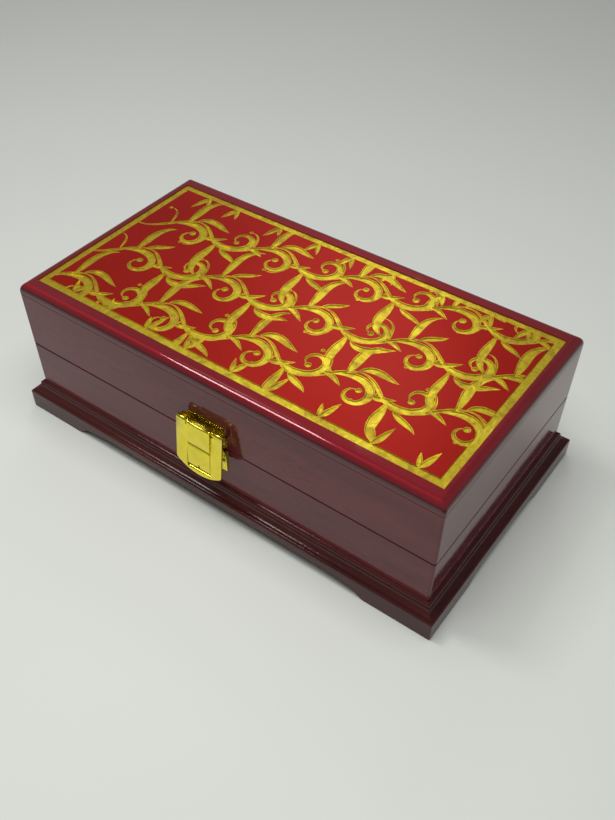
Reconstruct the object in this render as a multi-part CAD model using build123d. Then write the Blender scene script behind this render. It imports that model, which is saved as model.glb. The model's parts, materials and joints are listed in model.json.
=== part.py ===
from build123d import *
from math import atan, cos, degrees, pi, radians, sin, tan
import os

# Small lacquered wooden box: mitred base and lid, moulded plinth with bracket
# feet, inlaid lid panel, velvet linings, butt hinges and a brass toggle latch.
# Millimetres. +X runs along the box, the front faces -Y, +Z is up, and the
# origin is on the ground at the middle of the box.

# Overall size of the box above its plinth
box_length = 240.0
box_width = 127.0
box_height = 80.0
seam_height = 43.4
seam_gap = 0.2
seam_bevel = 0.5
wall = 8.0
corner_radius = 1.2

# Floor panel, held in grooves in the base walls
floor_underside = 6.5
floor_thickness = 4.0
floor_groove = 3.0
groove_clearance = 0.1

# How far a cutting solid runs past what it cuts
cut_margin = 1.0

# Moulded plinth: bead, cove and nose above a plain face, cut into bracket feet
plinth_ledge = 5.0
plinth_face = 10.4
nose_radius = 1.2
cove_step = 0.4
cove_radius = 3.2
bead_step = 0.5
bead_radius = 1.7
foot_length = 35.0
foot_curl_run = 7.0
foot_curl_height = 4.6
foot_curl_start_slope = 0.56
foot_curl_end_slope = 0.12
foot_curl_fullness = 0.35
arch_run = 20.0
arch_height = 6.6

# Lid board with its round-over and inlaid panel
top_board = 5.8
top_round = 4.2
joint_line = 0.3
inlay_margin_long = 8.3
inlay_margin_short = 5.8
inlay_depth = 1.0
border_width = 4.0
carving_depth = 0.5
inlay_clearance = 0.05

# Velvet covered boards and pads
lining_board = 1.6
lining_clearance = 0.1
lining_drop = 1.4
floor_pad = 3.0
lid_pad = 4.0
pad_clearance = 0.3

# Butt hinges
hinge_end_margin = 32.5
hinge_width = 25.0
hinge_leaf = 1.0
hinge_leaf_depth = 6.6
hinge_barrel_radius = 1.5
hinge_barrel_clearance = 0.25
hinge_pin_radius = 0.7
hinge_knuckles = 3
knuckle_clearance = 0.1
mortise_clearance = 0.05
pin_press_clearance = 0.01
pin_running_clearance = 0.05

# Screws and nails are small, so they and their holes are drawn flat sided
fastener_sides = 12

# Countersunk hinge screws, two in each leaf
screw_head_radius = 1.5
screw_shank_radius = 0.7
screw_tip_radius = 0.3
screw_length = 7.0
screw_end_margin = 5.5
screw_clearance = 0.03

# Toggle latch, set a little left of the middle as a hand fitted one is
latch_middle = -1.5
latch_sheet = 0.8
latch_bend = 0.4
plate_half_width = 11.0
plate_bottom = 29.4
plate_seam_margin = 0.9
plate_corner_radius = 0.8
nail_head_radius = 1.3
nail_head_top_radius = 0.8
nail_head_height = 0.5
nail_shank_radius = 0.6
nail_tip_radius = 0.3
nail_length = 6.8
nail_edge_margin = 1.6

# Strike on the lid, a plate with a turned up lip
strike_rise = 13.8
lip_groove = 1.3
lip_height = 5.2
lip_half_width = 12.4
lip_bead_radius = 0.6
lip_bearing_gap = 0.25
lip_running_gap = 0.2
lip_cheek = 0.35

# Lever, drawn upright and then leaned out at its lower edge
lever_lean = 7.2
lever_half_width = 13.6
lever_pivot_depth = 4.3
lever_pivot_height = 55.0
lever_knuckle_radius = 1.15
lever_corner_height = 31.4
lever_tip_height = 26.8
lever_corner_radius = 2.0
window_half_width = 7.0
window_bottom = 30.0
latch_pin_radius = 0.55
latch_pin_end_gap = 0.1

# Ears folded out of the body plate, which carry the lever in front of the lip
ear_side_clearance = 0.2
ear_radius = 1.1
ear_foot_margin = 2.0
ear_shoulder_drop = 2.0
ear_relief_angle = 4.0
ear_lever_clearance = 0.25
ear_strike_clearance = 0.3
ear_turning_gap = 0.4

# Hook, carried by the lever: the place of its pin in the upright lever, and
# the bends of the hook itself in front of the wall
pin_in_lever_depth = 4.2
pin_in_lever_height = 31.3
hook_side_clearance = 0.25
hook_crease_height = 44.3
hook_crease_depth = 6.45
hook_top_depth = 5.4
hook_pin_gap = 0.2
hook_knuckle_split = 0.9
hook_split_depth = 0.4
hook_lug_width = 1.6

# Values worked out from the sizes above
half_length = box_length / 2
half_width = box_width / 2
base_top = seam_height - seam_gap / 2
lid_bottom = seam_height + seam_gap / 2
lid_wall_top = box_height - top_board
floor_top = floor_underside + floor_thickness
plinth_projection = bead_radius + cove_radius + nose_radius
plinth_height = plinth_face + nose_radius + cove_step + cove_radius + bead_step + bead_radius
inner_half_length = half_length - wall
inner_half_width = half_width - wall
body_plate_top = base_top - plate_seam_margin
strike_bottom = lid_bottom + plate_seam_margin
lip_front = 2 * latch_sheet + lip_groove
lever_front = lever_pivot_depth + lever_knuckle_radius
pin_drop = lever_pivot_height - pin_in_lever_height
pin_setback = lever_pivot_depth - pin_in_lever_depth
lean = radians(lever_lean)
hook_pivot_depth = lever_pivot_depth + pin_drop * sin(lean) - pin_setback * cos(lean)
hook_pivot_height = lever_pivot_height - pin_drop * cos(lean) - pin_setback * sin(lean)
hook_strip_underside = lever_pivot_height + latch_pin_radius + hook_pin_gap
lip_bearing = hook_strip_underside - lip_bearing_gap
lip_top = hook_strip_underside + latch_sheet + lip_cheek
lip_shelf = lip_top - lip_height
hinge_axis_y = half_width + hinge_barrel_radius + hinge_barrel_clearance
sides = ("front", "right", "back", "left")


def save(name, shape):
    # one STEP file for each named piece
    export_step(shape, "parts/" + name + ".step")


def block(x0, x1, y0, y1, z0, z1):
    # box between two corners
    centre = Pos((x0 + x1) / 2, (y0 + y1) / 2, (z0 + z1) / 2)
    return centre * Box(x1 - x0, y1 - y0, z1 - z0)


def rod(radius, x0, x1, y, z):
    # cylinder along X
    return Pos((x0 + x1) / 2, y, z) * Rot(0, 90, 0) * Cylinder(radius, x1 - x0)


def flat_sided(low_radius, high_radius, height):
    # tapered peg with flat sides that narrows upwards
    flat_share = cos(pi / fastener_sides)
    side_angle = degrees(atan((low_radius - high_radius) * flat_share / height))
    return extrude(RegularPolygon(low_radius, fastener_sides), amount=height, taper=side_angle)


def turned(side):
    # turns a piece made for the front onto the named side
    return Rot(0, 0, 90 * sides.index(side))


def run_of(side):
    # half length along a side, and half distance across the box to it
    if side in ("front", "back"):
        return half_length, half_width
    return half_width, half_length


def mitre_wedge(side):
    # plan of one side between its two mitre lines, as a prism of full height
    along, across = run_of(side)
    reach = plinth_projection + cut_margin
    depth_in = wall + cut_margin
    plan = Polygon(
        (-along - reach, -across - reach),
        (along + reach, -across - reach),
        (along - depth_in, -across + depth_in),
        (depth_in - along, -across + depth_in),
        align=None,
    )
    height = box_height + 2 * cut_margin
    return turned(side) * Pos(0, 0, -cut_margin) * extrude(plan, amount=height)


def wall_ring(z0, z1):
    # four walls as one ring with slightly rounded upright corners
    outer = RectangleRounded(box_length, box_width, corner_radius)
    inner = Rectangle(2 * inner_half_length, 2 * inner_half_width)
    return Pos(0, 0, z0) * extrude(outer - inner, amount=z1 - z0)


def edges_round_outside(shape, z):
    # edges of the outer rectangle at a given height
    found = []
    for edge in shape.edges():
        middle = edge.center()
        outside = abs(middle.X) > half_length - wall / 2 or abs(middle.Y) > half_width - wall / 2
        if abs(middle.Z - z) < 1e-4 and outside and abs(edge.bounding_box().size.Z) < 1e-4:
            found.append(edge)
    return found


def base_walls():
    # grooved for the floor, bevelled at the seam, mortised for the hinges
    ring = wall_ring(plinth_ledge, base_top)
    ring = chamfer(edges_round_outside(ring, base_top), seam_bevel)
    reach = floor_groove + groove_clearance
    ring -= block(
        -inner_half_length - reach,
        inner_half_length + reach,
        -inner_half_width - reach,
        inner_half_width + reach,
        floor_underside,
        floor_top,
    )
    for x in hinge_places():
        ring -= leaf_mortise(x, base_top - hinge_leaf, base_top)
        for place in screw_places(x):
            ring -= screw_hole(place, base_top, -1)
    for place in body_nail_places():
        ring -= nail_shank(place, screw_clearance)
    for side in sides:
        save("base_wall_" + side, ring & mitre_wedge(side))


def base_floor_panel():
    panel = block(
        -inner_half_length - floor_groove,
        inner_half_length + floor_groove,
        -inner_half_width - floor_groove,
        inner_half_width + floor_groove,
        floor_underside,
        floor_top,
    )
    save("base_floor_panel", panel)


def plinth_profile(across):
    # section through the moulding: Y outwards is negative, Z up
    wall_line = -across
    bead_edge = wall_line - bead_radius
    cove_edge = bead_edge - cove_radius
    nose_edge = cove_edge - nose_radius
    nose_top = plinth_face + nose_radius
    cove_bottom = nose_top + cove_step
    cove_top = cove_bottom + cove_radius
    bead_bottom = cove_top + bead_step
    half_turn = 0.5 ** 0.5

    def at(y, z):
        return (0, y, z)

    bead_middle = at(wall_line - bead_radius * half_turn, bead_bottom + bead_radius * half_turn)
    cove_middle = at(cove_edge + cove_radius * half_turn, cove_top - cove_radius * half_turn)
    nose_middle = at(cove_edge - nose_radius * half_turn, plinth_face + nose_radius * half_turn)
    inside = wall_line + wall
    edges = [
        ThreePointArc(at(wall_line, plinth_height), bead_middle, at(bead_edge, bead_bottom)),
        Line(at(bead_edge, bead_bottom), at(bead_edge, cove_top)),
        ThreePointArc(at(bead_edge, cove_top), cove_middle, at(cove_edge, cove_bottom)),
        Line(at(cove_edge, cove_bottom), at(cove_edge, nose_top)),
        ThreePointArc(at(cove_edge, nose_top), nose_middle, at(nose_edge, plinth_face)),
        Line(at(nose_edge, plinth_face), at(nose_edge, 0)),
        Line(at(nose_edge, 0), at(inside, 0)),
        Line(at(inside, 0), at(inside, plinth_ledge)),
        Line(at(inside, plinth_ledge), at(wall_line, plinth_ledge)),
        Line(at(wall_line, plinth_ledge), at(wall_line, plinth_height)),
    ]
    return make_face(edges)


def plinth_arch(along, across):
    # space cut between two bracket feet: a curl at each foot, then a long rise
    foot_end = along + plinth_projection - foot_length
    curl_end = foot_end - foot_curl_run
    rise_end = curl_end - arch_run
    curl_middle = foot_end - foot_curl_fullness * foot_curl_run
    curl_middle_height = foot_curl_fullness * foot_curl_height

    def side_curve(sign):
        curl_low = Spline(
            (sign * foot_end, 0),
            (sign * curl_middle, curl_middle_height),
            (sign * curl_end, foot_curl_height),
            tangents=[(-sign, foot_curl_start_slope), (-sign, foot_curl_end_slope)],
        )
        rise = Spline(
            (sign * curl_end, foot_curl_height),
            (sign * rise_end, arch_height),
            tangents=[(-sign, foot_curl_end_slope), (-sign, 0)],
        )
        return curl_low, rise

    right_low, right_rise = side_curve(1)
    left_low, left_rise = side_curve(-1)
    edges = [
        right_low,
        right_rise,
        Line((rise_end, arch_height), (-rise_end, arch_height)),
        left_rise,
        left_low,
        Line((-foot_end, 0), (foot_end, 0)),
    ]
    face = make_face(edges)
    inside = -across + wall + cut_margin
    start = Plane(origin=(0, inside, 0), x_dir=(1, 0, 0), z_dir=(0, -1, 0))
    return extrude(start * face, amount=wall + plinth_projection + 2 * cut_margin)


def plinth():
    # four mitred mouldings that the base stands in
    for side in sides:
        along, across = run_of(side)
        reach = along + plinth_projection
        run = extrude(Pos(-reach, 0, 0) * plinth_profile(across), amount=2 * reach, dir=(1, 0, 0))
        run -= plinth_arch(along, across)
        save("plinth_" + side, (turned(side) * run) & mitre_wedge(side))


def lid_walls():
    ring = wall_ring(lid_bottom, lid_wall_top)
    ring = chamfer(edges_round_outside(ring, lid_bottom), seam_bevel)
    for x in hinge_places():
        ring -= leaf_mortise(x, lid_bottom, lid_bottom + hinge_leaf)
        for place in screw_places(x):
            ring -= screw_hole(place, lid_bottom, 1)
    for place in strike_nail_places():
        ring -= nail_shank(place, screw_clearance)
    for side in sides:
        save("lid_wall_" + side, ring & mitre_wedge(side))


def inlay_size():
    return box_length - 2 * inlay_margin_short, box_width - 2 * inlay_margin_long


def lid_top_board():
    # rounded all round the top, with a shadow line below and a recess for the inlay
    outline = RectangleRounded(box_length, box_width, corner_radius)
    board = Pos(0, 0, lid_wall_top) * extrude(outline, amount=top_board)
    board = fillet(edges_round_outside(board, box_height), top_round)
    board = chamfer(edges_round_outside(board, lid_wall_top), joint_line)
    length, width = inlay_size()
    board -= block(
        -length / 2,
        length / 2,
        -width / 2,
        width / 2,
        box_height - inlay_depth,
        box_height,
    )
    save("lid_top_board", board)


def inlay():
    # coloured panel flush in the lid board, and the gilt border sunk round it as
    # deep as the panel's carving
    length, width = inlay_size()
    low = box_height - inlay_depth
    border = Rectangle(length - 2 * inlay_clearance, width - 2 * inlay_clearance)
    border -= Rectangle(length - 2 * border_width, width - 2 * border_width)
    save("inlay_border", Pos(0, 0, low) * extrude(border, amount=inlay_depth - carving_depth))
    panel_x = length / 2 - border_width - inlay_clearance
    panel_y = width / 2 - border_width - inlay_clearance
    save("inlay_panel", block(-panel_x, panel_x, -panel_y, panel_y, low, box_height))


def lining_boards(prefix, z0, z1):
    # four velvet covered boards that stand against the inner faces of the walls
    for side in sides:
        along, across = run_of(side)
        inner_face = -(across - wall - lining_clearance)
        end = along - wall - lining_clearance
        if side in ("left", "right"):
            end -= lining_board + lining_clearance
        board = block(-end, end, inner_face, inner_face + lining_board, z0, z1)
        save(prefix + side, turned(side) * board)


def pad(name, z0, z1):
    # soft pad that fills the space inside the lining boards
    x = inner_half_length - lining_clearance - lining_board - pad_clearance
    y = inner_half_width - lining_clearance - lining_board - pad_clearance
    save(name, block(-x, x, -y, y, z0, z1))


def linings():
    lining_boards("base_lining_", floor_top, base_top - lining_drop)
    pad("base_floor_pad", floor_top, floor_top + floor_pad)
    lining_boards("lid_lining_", lid_bottom + lining_drop, lid_wall_top)
    pad("lid_pad", lid_wall_top - lid_pad, lid_wall_top)


def hinge_places():
    x = half_length - hinge_end_margin - hinge_width / 2
    return (-x, x)


def leaf_mortise(x, z0, z1):
    half = hinge_width / 2 + mortise_clearance
    inside = half_width - hinge_leaf_depth
    return block(x - half, x + half, inside, half_width + cut_margin, z0, z1)


def screw_places(x):
    y = half_width - hinge_leaf_depth / 2
    step = hinge_width / 2 - screw_end_margin
    return [(x - step, y), (x + step, y)]


def screw_solid(place, face, way, extra):
    # countersunk screw, flush with a leaf face, whose shank tapers to its tip
    x, y = place
    head = screw_head_radius + extra
    neck = screw_shank_radius + extra
    tip = screw_tip_radius + extra
    cone = flat_sided(head, neck, hinge_leaf)
    shank = Pos(0, 0, hinge_leaf) * flat_sided(neck, tip, screw_length - hinge_leaf + extra)
    turn = Rot(0, 0, 0) if way > 0 else Rot(180, 0, 0)
    return Pos(x, y, face) * turn * (cone + shank)


def screw_hole(place, face, way):
    return screw_solid(place, face, way, screw_clearance)


def hinge_leaf_solid(x, z0, first_knuckle, bore_clearance):
    # flat leaf with every second knuckle of the barrel rolled onto it
    left = x - hinge_width / 2
    pitch = hinge_width / hinge_knuckles
    leaf = block(
        left,
        left + hinge_width,
        half_width - hinge_leaf_depth + mortise_clearance,
        half_width,
        z0,
        z0 + hinge_leaf,
    )
    for number in range(first_knuckle, hinge_knuckles, 2):
        start = left + number * pitch + knuckle_clearance / 2
        end = left + (number + 1) * pitch - knuckle_clearance / 2
        leaf += block(start, end, half_width, hinge_axis_y, z0, z0 + hinge_leaf)
        leaf += rod(hinge_barrel_radius, start, end, hinge_axis_y, seam_height)
    bore = hinge_pin_radius + bore_clearance
    leaf -= rod(
        bore, left - cut_margin, left + hinge_width + cut_margin, hinge_axis_y, seam_height
    )
    return leaf


def hinges():
    base_screws = []
    lid_screws = []
    for name, x in zip(("left", "right"), hinge_places()):
        base_leaf = hinge_leaf_solid(x, base_top - hinge_leaf, 0, pin_press_clearance)
        lid_leaf = hinge_leaf_solid(x, lid_bottom, 1, pin_running_clearance)
        for place in screw_places(x):
            base_leaf -= screw_hole(place, base_top, -1)
            lid_leaf -= screw_hole(place, lid_bottom, 1)
            base_screws.append(screw_solid(place, base_top, -1, 0))
            lid_screws.append(screw_solid(place, lid_bottom, 1, 0))
        save("hinge_" + name + "_base_leaf", base_leaf)
        save("hinge_" + name + "_lid_leaf", lid_leaf)
        half = hinge_width / 2
        pin = rod(hinge_pin_radius, x - half, x + half, hinge_axis_y, seam_height)
        save("hinge_" + name + "_pin", pin)
    save("hinge_base_screws", Compound(children=base_screws))
    save("hinge_lid_screws", Compound(children=lid_screws))


def front_extrude(face, x0, x1):
    # a section drawn as depth in front of the wall against height, run along X
    plane = Plane(origin=(latch_middle + x1, -half_width, 0), x_dir=(0, -1, 0), z_dir=(-1, 0, 0))
    return extrude(plane * face, amount=x1 - x0, dir=(-1, 0, 0))


def latch_rod(radius, x0, x1, depth, z):
    return rod(radius, latch_middle + x0, latch_middle + x1, -half_width - depth, z)


def latch_block(x0, x1, depth0, depth1, z0, z1):
    x = latch_middle
    return block(x + x0, x + x1, -half_width - depth1, -half_width - depth0, z0, z1)


def bent_sheet(points):
    # sheet metal section: the points are its face towards the wall
    path = FilletPolyline(*points, radius=latch_bend)
    return make_face(offset(path, amount=latch_sheet, side=Side.RIGHT))


def nail_places(z):
    x = plate_half_width - nail_edge_margin
    return [(-x, z), (x, z)]


def body_nail_places():
    return nail_places((plate_bottom + body_plate_top) / 2)


def strike_nail_places():
    return nail_places((strike_bottom + lip_shelf - latch_sheet) / 2)


def nail_shank(place, extra):
    # tapered shank that runs inwards from the front face of a latch plate
    x, z = place
    top = nail_shank_radius + extra
    tip = nail_tip_radius + extra
    shank = flat_sided(top, tip, nail_length + extra)
    return Pos(latch_middle + x, -half_width - latch_sheet, z) * Rot(-90, 0, 0) * shank


def nails(name, places):
    # flat domed pins through a plate into the wall
    found = []
    for place in places:
        x, z = place
        head = flat_sided(nail_head_radius, nail_head_top_radius, nail_head_height)
        head = Pos(latch_middle + x, -half_width - latch_sheet, z) * Rot(90, 0, 0) * head
        found.append(head + nail_shank(place, 0))
    save(name, Compound(children=found))


def strike():
    # lid plate with a turned up lip, notched in the middle for the hook
    plate = latch_block(
        -plate_half_width,
        plate_half_width,
        0,
        latch_sheet,
        strike_bottom,
        lid_bottom + strike_rise,
    )
    plate = fillet(plate.edges().filter_by(Axis.Y), plate_corner_radius)
    lip_back = lip_front - latch_sheet
    section = bent_sheet([(latch_sheet / 2, lip_shelf), (lip_back, lip_shelf), (lip_back, lip_top)])
    lip = front_extrude(section, -lip_half_width, lip_half_width)
    bead_depth = lip_front - lip_bead_radius
    bead_height = lip_top - lip_bead_radius
    lip += latch_rod(lip_bead_radius, -lip_half_width, lip_half_width, bead_depth, bead_height)
    lip -= latch_block(
        -window_half_width,
        window_half_width,
        latch_sheet,
        lip_front + cut_margin,
        lip_bearing,
        lip_top + cut_margin,
    )
    piece = plate + lip
    for place in strike_nail_places():
        piece -= nail_shank(place, screw_clearance)
    save("latch_strike", piece)


def ear_section():
    # the ear leaves the plate, runs up clear of the strike and its lip, and
    # leans back in front so that the lever can snap past its rest
    arm_front = lever_front - latch_sheet - ear_lever_clearance
    arm_back = lip_front + ear_strike_clearance
    root = latch_sheet / 2
    back = latch_sheet + ear_turning_gap
    step = lip_shelf - latch_sheet - ear_strike_clearance
    shoulder = body_plate_top - ear_shoulder_drop
    relief = (lever_pivot_height - shoulder) * tan(radians(ear_relief_angle))
    arm = Polygon(
        (root, plate_bottom + ear_foot_margin),
        (root, body_plate_top - latch_bend),
        (back, body_plate_top),
        (back, step - ear_turning_gap),
        (arm_back, step),
        (arm_back, lever_pivot_height),
        (arm_front, lever_pivot_height),
        (arm_front - relief, shoulder),
        align=None,
    )
    return arm + Pos(lever_pivot_depth, lever_pivot_height) * Circle(ear_radius)


def body_plate():
    # plate on the base with two ears folded forward to carry the lever
    plate = latch_block(
        -plate_half_width, plate_half_width, 0, latch_sheet, plate_bottom, body_plate_top
    )
    plate = fillet(plate.edges().filter_by(Axis.Y), plate_corner_radius)
    inner = window_half_width
    outer = window_half_width + latch_sheet
    plate += front_extrude(ear_section(), inner, outer)
    plate += front_extrude(ear_section(), -outer, -inner)
    bore = latch_pin_radius + pin_press_clearance
    reach = plate_half_width + cut_margin
    plate -= latch_rod(bore, -reach, reach, lever_pivot_depth, lever_pivot_height)
    for place in body_nail_places():
        plate -= nail_shank(place, screw_clearance)
    save("latch_body_plate", plate)


def leaned(piece):
    # leans a piece of the upright lever out about the lever's pivots
    y = -half_width - lever_pivot_depth
    z = lever_pivot_height
    return Pos(0, y, z) * Rot(-lever_lean, 0, 0) * Pos(0, -y, -z) * piece


def lever_outline():
    # U shaped frame with a bowed lower edge
    w = lever_half_width
    edges = [
        Line((-w, lever_pivot_height), (-w, lever_corner_height)),
        ThreePointArc((-w, lever_corner_height), (0, lever_tip_height), (w, lever_corner_height)),
        Line((w, lever_corner_height), (w, lever_pivot_height)),
        Line((w, lever_pivot_height), (-w, lever_pivot_height)),
    ]
    face = make_face(edges)
    low_corners = face.vertices().sort_by(Axis.Y)[0:2]
    face = fillet(low_corners, lever_corner_radius)
    window_height = lever_pivot_height - window_bottom + cut_margin
    window = Rectangle(2 * window_half_width, window_height)
    return face - Pos(0, window_bottom + window_height / 2) * window


def lever():
    # flat frame rolled round its pivots above, with lugs for the hook pin below
    back = lever_front - latch_sheet
    outline = Plane(
        origin=(latch_middle, -half_width - back, 0), x_dir=(1, 0, 0), z_dir=(0, -1, 0)
    )
    piece = extrude(outline * lever_outline(), amount=latch_sheet)
    roll_start = window_half_width + latch_sheet + ear_side_clearance
    notch_low = lever_pivot_height - ear_radius - ear_side_clearance - ear_turning_gap
    notch_high = lever_pivot_height + cut_margin
    lug_end = window_half_width + hook_lug_width
    for sign in (-1, 1):
        notch = sorted((sign * window_half_width, sign * roll_start))
        roll = sorted((sign * roll_start, sign * lever_half_width))
        lug = sorted((sign * window_half_width, sign * lug_end))
        piece -= latch_block(notch[0], notch[1], 0, lever_front + cut_margin, notch_low, notch_high)
        piece += latch_rod(
            lever_knuckle_radius, roll[0], roll[1], lever_pivot_depth, lever_pivot_height
        )
        piece += latch_rod(
            lever_knuckle_radius, lug[0], lug[1], pin_in_lever_depth, pin_in_lever_height
        )
    running = latch_pin_radius + pin_running_clearance
    reach = lever_half_width + cut_margin
    piece -= latch_rod(running, -reach, reach, lever_pivot_depth, lever_pivot_height)
    tight = latch_pin_radius + pin_press_clearance
    reach = lug_end + cut_margin
    piece -= latch_rod(tight, -reach, reach, pin_in_lever_depth, pin_in_lever_height)
    save("latch_lever", leaned(piece))


def hook():
    # bent plate between the rails of the lever, rolled round its pin below
    half = window_half_width - hook_side_clearance
    section = bent_sheet(
        [
            (hook_pivot_depth - lever_knuckle_radius, hook_pivot_height),
            (hook_crease_depth, hook_crease_height),
            (hook_top_depth, hook_strip_underside),
            (lip_front + lip_running_gap, hook_strip_underside),
        ]
    )
    piece = front_extrude(section, -half, half)
    piece += latch_rod(lever_knuckle_radius, -half, half, hook_pivot_depth, hook_pivot_height)
    running = latch_pin_radius + pin_running_clearance
    reach = half + cut_margin
    piece -= latch_rod(running, -reach, reach, hook_pivot_depth, hook_pivot_height)
    split = hook_knuckle_split / 2
    split_low = hook_pivot_height - lever_knuckle_radius - cut_margin
    split_top = hook_pivot_height + lever_knuckle_radius + hook_split_depth
    piece -= latch_block(-split, split, 0, lever_front + cut_margin, split_low, split_top)
    save("latch_hook", piece)


def latch_pins():
    # two short pivots for the lever and one long pin for the hook
    inner = window_half_width
    outer = lever_half_width - latch_pin_end_gap
    stubs = [
        latch_rod(latch_pin_radius, inner, outer, lever_pivot_depth, lever_pivot_height),
        latch_rod(latch_pin_radius, -outer, -inner, lever_pivot_depth, lever_pivot_height),
    ]
    save("latch_pivot_pins", Compound(children=stubs))
    reach = window_half_width + hook_lug_width
    pin = latch_rod(latch_pin_radius, -reach, reach, hook_pivot_depth, hook_pivot_height)
    save("latch_hook_pin", pin)


def main():
    os.makedirs("parts", exist_ok=True)
    base_walls()
    base_floor_panel()
    plinth()
    lid_walls()
    lid_top_board()
    inlay()
    linings()
    hinges()
    body_plate()
    strike()
    lever()
    hook()
    latch_pins()
    nails("latch_body_nails", body_nail_places())
    nails("latch_strike_nails", strike_nail_places())


main()
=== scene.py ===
import json
import math
import random
import bmesh
import bpy
from mathutils import Matrix, Vector, geometry, kdtree, noise


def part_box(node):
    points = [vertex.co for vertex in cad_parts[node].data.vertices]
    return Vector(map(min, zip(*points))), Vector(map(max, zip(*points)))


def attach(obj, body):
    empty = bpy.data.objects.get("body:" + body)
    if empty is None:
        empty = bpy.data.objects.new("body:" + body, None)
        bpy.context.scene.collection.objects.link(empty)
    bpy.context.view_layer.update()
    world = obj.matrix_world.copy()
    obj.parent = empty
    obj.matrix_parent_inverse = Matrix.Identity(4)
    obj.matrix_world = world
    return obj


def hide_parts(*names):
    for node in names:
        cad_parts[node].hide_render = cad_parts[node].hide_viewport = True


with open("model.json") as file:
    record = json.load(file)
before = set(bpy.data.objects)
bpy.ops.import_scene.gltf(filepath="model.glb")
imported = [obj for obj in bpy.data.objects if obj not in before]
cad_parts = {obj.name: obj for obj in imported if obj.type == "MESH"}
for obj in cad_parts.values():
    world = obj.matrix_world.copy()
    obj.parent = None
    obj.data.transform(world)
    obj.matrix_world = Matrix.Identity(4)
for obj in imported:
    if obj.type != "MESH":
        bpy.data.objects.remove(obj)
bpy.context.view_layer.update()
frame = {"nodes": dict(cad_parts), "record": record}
nodes = frame["nodes"]

MM = 0.001
white = (1.0, 1.0, 1.0)
sides = ("front", "right", "back", "left")
wall_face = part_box("base_wall_front")[0].y
joints = {
    joint["name"]: Vector(joint["pos_m"]) for joint in frame["record"]["behaviour"]["joints"]
}

# Camera, at the photograph's angle
camera_place = Vector((0.2000, -0.2642, 0.3332))
camera_target = Vector((0.02116, -0.02141, 0.0))
camera_sensor = 36.0
camera_lens = 38.2
camera_shift = (0.00715, 0.0729)
camera_near = 0.01

# Lamps: name, place, point aimed at, width, height, watts, seen in reflections
lamps = (
    ("ceiling_lamp", (-0.60, -0.16, 1.21), (0.02, -0.06, 0.08), 0.27, 0.33, 3.2, True),
    ("window_lamp", (-0.56, 0.91, 0.96), (0.035, -0.006, 0.08), 0.3, 0.22, 0.56, True),
    ("side_lamp", (-0.65, 0.56, 1.09), (0.03, -0.02, 0.08), 0.22, 0.22, 0.25, True),
    ("far_lamp", (-0.41, 0.93, 1.09), (0.078, -0.025, 0.08), 0.18, 0.18, 0.4, True),
    ("soft_lamp", (0.05, -0.13, 0.66), (-0.02, -0.13, 0.0), 0.5, 0.5, 3.0, False),
)
lamp_colour = (1.0, 0.995, 0.97)
world_colour = (0.97, 1.0, 0.98)
world_strength = 0.2

# Floor
floor_reach = 3.0
floor_colour = (0.745, 0.765, 0.735)

# Colours of the finishes, the darkest first
wall_colours = ((0.115, 0.016, 0.022), (0.165, 0.026, 0.032))
plinth_colours = ((0.05, 0.010, 0.010), (0.085, 0.018, 0.015))
floor_board_colours = ((0.05, 0.02, 0.015), (0.09, 0.035, 0.025))
crimson_colours = ((0.27, 0.005, 0.014), (0.35, 0.008, 0.020))
panel_colours = ((0.52, 0.014, 0.008), (0.60, 0.020, 0.011))
gold_colours = ((0.62, 0.42, 0.05), (0.86, 0.64, 0.04), (0.95, 0.78, 0.06))
velvet_colours = ((0.11, 0.004, 0.012), (0.2, 0.008, 0.022))
latch_colour = (0.95, 0.80, 0.075)
hinge_colour = (0.72, 0.52, 0.18)
velvet_sheen = (0.9, 0.25, 0.3, 1.0)

# Wood grain under lacquer: how fine it is across the grain and along it, in cycles a metre
grain_cloud = (60.0, 9.0)
grain_fleck = (230.0, 62.0)
grain_patch = (26.0, 8.0)
grain_line = (900.0, 40.0)

# Brush lines on brass, across and along them, in cycles a metre
brush_line = (3200.0, 120.0)

# Unevenness of a lacquer's clear coat, in cycles a metre and as a depth
coat_wave = 34.0
coat_wave_depth = 0.10 * MM
coat_bead = 420.0
grain_depth = 0.02 * MM

# Edge of the lid board: colours at its foot and where its painted shade is darkest, height above
# the foot where the painted shade starts, depths below the top between which it turns from the
# painted shade to crimson, its metallic look fades in and its coat is whole, and how metallic the
# top and how thick the coat at the foot are
edge_foot = (0.14, 0.021, 0.027)
edge_painted_shade = (0.05, 0.005, 0.008)
edge_foot_rise = 0.4 * MM
painted_shade_foot = 2.5 * MM
painted_shade_head = 0.2 * MM
metallic_foot = 1.6 * MM
metallic_head = 0.1 * MM
coat_head = 2.6 * MM
metallic_most = 0.75
coat_least = 0.72

# Hinge screws, in the places of the CAD's. A thread's ridge takes thread_share of its
# pitch, and thread_taper is how much thinner the screw gets by its tip.
hinge_place = 75.0 * MM
hinge_width = 25.0 * MM
screw_margin = 5.5 * MM
screw_leaf = 1.0 * MM
screw_length = 7.0 * MM
screw_head = 1.44 * MM
screw_core = 0.5 * MM
screw_tip = 0.12 * MM
screw_sides = 24
thread_rise = 0.17 * MM
thread_pitch = 0.9 * MM
thread_start = 1.6 * MM
thread_share = 0.5
thread_taper = 0.55
thread_steps = 8
recess_length = 1.9 * MM
recess_width = 0.42 * MM
recess_depth = 0.4 * MM
recess_narrowing = 0.55

# Latch nails
nail_head = 1.25 * MM
nail_head_height = 0.5 * MM
nail_head_room = 1.3 * MM
nail_shank = 0.57 * MM
nail_tip = 0.15 * MM
nail_length = 6.8 * MM
nail_taper = 0.9
nail_taper_start = 0.8
nail_sides = 28
dome_steps = 6
dome_angle = 85

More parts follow.
